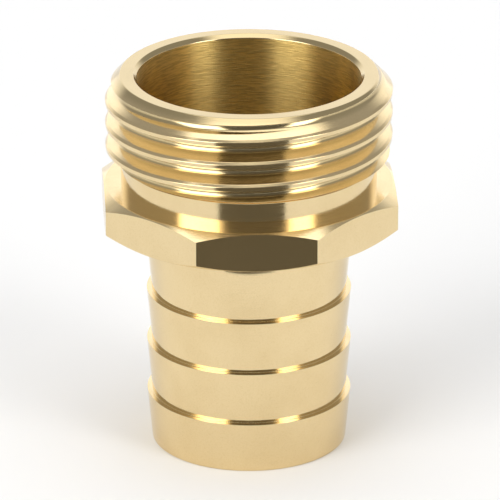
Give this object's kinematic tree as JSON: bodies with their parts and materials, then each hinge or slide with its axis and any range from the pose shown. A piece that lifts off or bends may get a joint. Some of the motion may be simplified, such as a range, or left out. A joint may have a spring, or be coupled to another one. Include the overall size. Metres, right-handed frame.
{
  "type": "male hose connector",
  "caption": "One-piece turned brass hose connector: a male threaded head, an octagonal collar and a barbed hose tail, with a stepped bore right through.",
  "frame": {"origin": "centre of the end face of the hose tail, which the connector stands on", "axes": "+Z along the axis towards the threaded mouth; a flat of the collar faces -Y"},
  "size_m": [0.0274, 0.0274, 0.0367],
  "materials": {
    "brass": "machined, uncoated, with fine turning marks"
  },
  "bodies": {
    "root": {"hose_connector": "brass"}
  },
  "joints": []
}
